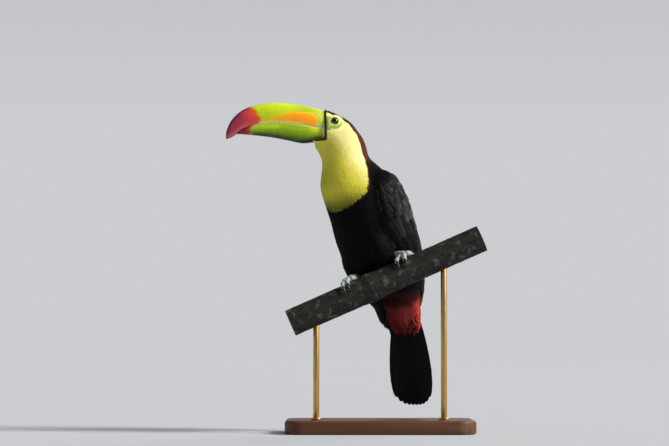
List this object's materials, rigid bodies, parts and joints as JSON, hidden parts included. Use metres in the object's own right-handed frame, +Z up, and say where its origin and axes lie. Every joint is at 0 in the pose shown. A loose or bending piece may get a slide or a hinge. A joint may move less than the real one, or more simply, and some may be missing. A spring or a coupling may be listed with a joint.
{
  "type": "keel-billed toucan model on a display perch",
  "caption": "Life-size still model of a keel-billed toucan gripping a cut length of branch, held over a flat wooden base by two brass rods.",
  "frame": {"origin": "middle of the underside of the stand's base, on the surface it rests on", "axes": "+Z up; +X along the branch towards its higher end, so the bill points to -X; -Y is the side that the breast turns to, half towards -X"},
  "size_m": [0.3455, 0.164, 0.4378],
  "materials": {
    "black_plumage": "glossy black feathers",
    "yellow_plumage": "short soft yellow feathers",
    "face_skin": "bare lime-green skin round the eye, short yellow feathers behind it",
    "bill_horn": "smooth satin horn, green with an orange flash and a dark red tip",
    "eye": "wet dark brown eye",
    "scaled_skin": "scaled pale slate-blue skin",
    "claw_horn": "smooth dark horn",
    "bark": "rough grey-brown bark with cut ends",
    "base_wood": "satin dark walnut",
    "rod_brass": "brushed brass rod"
  },
  "bodies": {
    "root": {"trunk": "black_plumage", "neck": "yellow_plumage", "head": "face_skin", "bill_upper": "bill_horn", "bill_lower": "bill_horn", "eye_left": "eye", "eye_right": "eye", "wing_left": "black_plumage", "wing_right": "black_plumage", "tail": "black_plumage", "thigh_left": "black_plumage", "thigh_right": "black_plumage", "leg_left": "scaled_skin", "leg_right": "scaled_skin", "claw_left_inner_front": "claw_horn", "claw_left_outer_front": "claw_horn", "claw_left_inner_back": "claw_horn", "claw_left_outer_back": "claw_horn", "claw_right_inner_front": "claw_horn", "claw_right_outer_front": "claw_horn", "claw_right_inner_back": "claw_horn", "claw_right_outer_back": "claw_horn", "perch_branch": "bark", "stand_base": "base_wood", "stand_rod_low": "rod_brass", "stand_rod_high": "rod_brass"}
  },
  "joints": []
}
